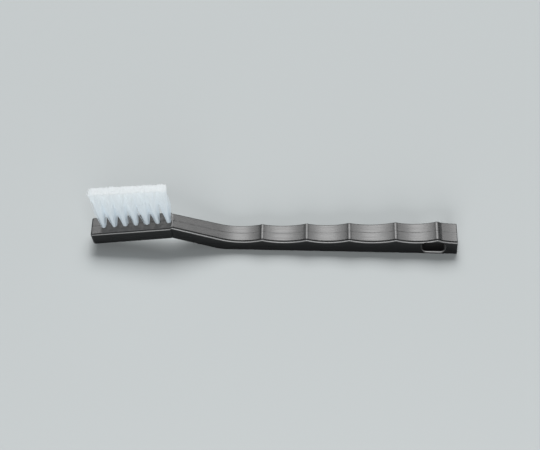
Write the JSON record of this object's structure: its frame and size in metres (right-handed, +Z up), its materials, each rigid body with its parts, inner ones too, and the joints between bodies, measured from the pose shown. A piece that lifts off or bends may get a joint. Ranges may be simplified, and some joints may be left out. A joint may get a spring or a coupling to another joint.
{
  "type": "hand brush",
  "caption": "Toothbrush-shaped hand brush with a bent black plastic handle, scalloped grip, hanging slot and a row of white nylon tufts.",
  "frame": {"origin": "on the flat underside that the brush lies on, in the middle of that flat", "axes": "+X along the brush from the bristles to the hanging slot, +Y across it, +Z up from the flat underside towards the bristle tips"},
  "size_m": [0.1783, 0.0136, 0.0362],
  "materials": {
    "black_plastic": "black moulded plastic, semi-gloss, faint flow streaks along the grip",
    "white_nylon": "white translucent nylon filament, trimmed level",
    "brass": "flat drawn wire, cut and punched in"
  },
  "bodies": {
    "root": {"handle": "black_plastic", "tuft_1": "white_nylon", "tuft_2": "white_nylon", "tuft_3": "white_nylon", "tuft_4": "white_nylon", "tuft_5": "white_nylon", "tuft_6": "white_nylon", "tuft_7": "white_nylon", "anchor_1": "brass", "anchor_2": "brass", "anchor_3": "brass", "anchor_4": "brass", "anchor_5": "brass", "anchor_6": "brass", "anchor_7": "brass"}
  },
  "joints": []
}
